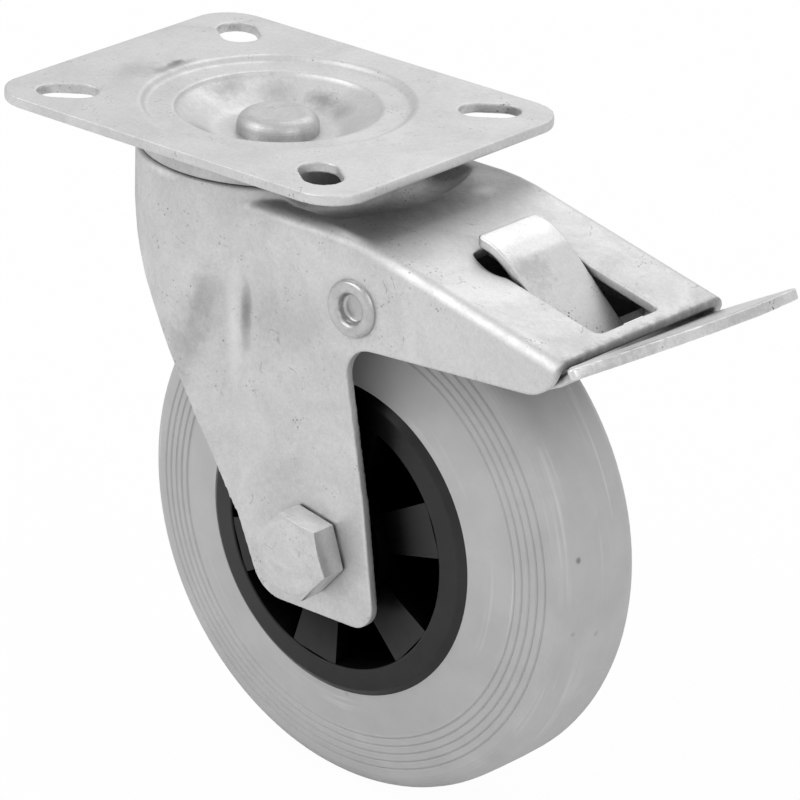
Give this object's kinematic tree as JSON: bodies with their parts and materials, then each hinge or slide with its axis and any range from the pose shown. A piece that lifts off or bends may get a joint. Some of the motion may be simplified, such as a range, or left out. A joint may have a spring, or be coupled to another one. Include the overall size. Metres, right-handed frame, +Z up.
{
  "type": "swivel castor",
  "caption": "Swivel castor with a slotted top plate, pressed steel fork, rubber-tyred wheel and a pedal that locks both the wheel and the swivel.",
  "frame": {"origin": "centre of the top plate's upper face, on the swivel axis", "axes": "+Z is up, out of the plate's upper face; +X is towards the trailing side, where the wheel and the pedal are; Y is along the axle, with the bolt head on -Y"},
  "size_m": [0.1741, 0.083, 0.1525],
  "materials": {
    "zinc_sheet": "bright zinc plating, satin with cloudy stains",
    "zinc_rivet": "satin zinc plating",
    "ball_steel": "polished bearing steel",
    "spring_steel": "dull spring steel",
    "grey_rubber": "matte grey rubber",
    "black_plastic": "moulded black plastic, semi-gloss",
    "cage_plastic": "matte natural plastic"
  },
  "bodies": {
    "base": {"top_plate": "zinc_sheet", "king_rivet": "zinc_rivet", "lower_race": "zinc_sheet", "dust_ring": "zinc_sheet", "upper_balls": "ball_steel", "lower_balls": "ball_steel"},
    "fork": {"fork_housing": "zinc_sheet", "pivot_rivet_near": "zinc_rivet", "pivot_rivet_far": "zinc_rivet", "axle_bolt": "zinc_rivet", "axle_nut": "zinc_rivet", "axle_sleeve": "ball_steel"},
    "pedal": {"brake_pedal": "zinc_sheet", "brake_leaf": "spring_steel"},
    "wheel": {"tyre": "grey_rubber", "wheel_rim": "black_plastic", "roller_cage": "cage_plastic", "rollers": "ball_steel", "bearing_cap_near": "black_plastic", "bearing_cap_far": "black_plastic"}
  },
  "joints": [
    {"name": "swivel", "type": "hinge", "parent": "base", "child": "fork", "pos_m": [0, 0, 0], "axis": [0, 0, 1], "continuous": true},
    {"name": "wheel_spin", "type": "hinge", "parent": "fork", "child": "wheel", "pos_m": [0.036, 0, -0.09], "axis": [0, 1, 0], "continuous": true},
    {"name": "pedal_press", "type": "hinge", "parent": "fork", "child": "pedal", "pos_m": [0.0483, 0, -0.0286], "axis": [0, 1, 0], "range_deg": [0, 10.5]}
  ]
}
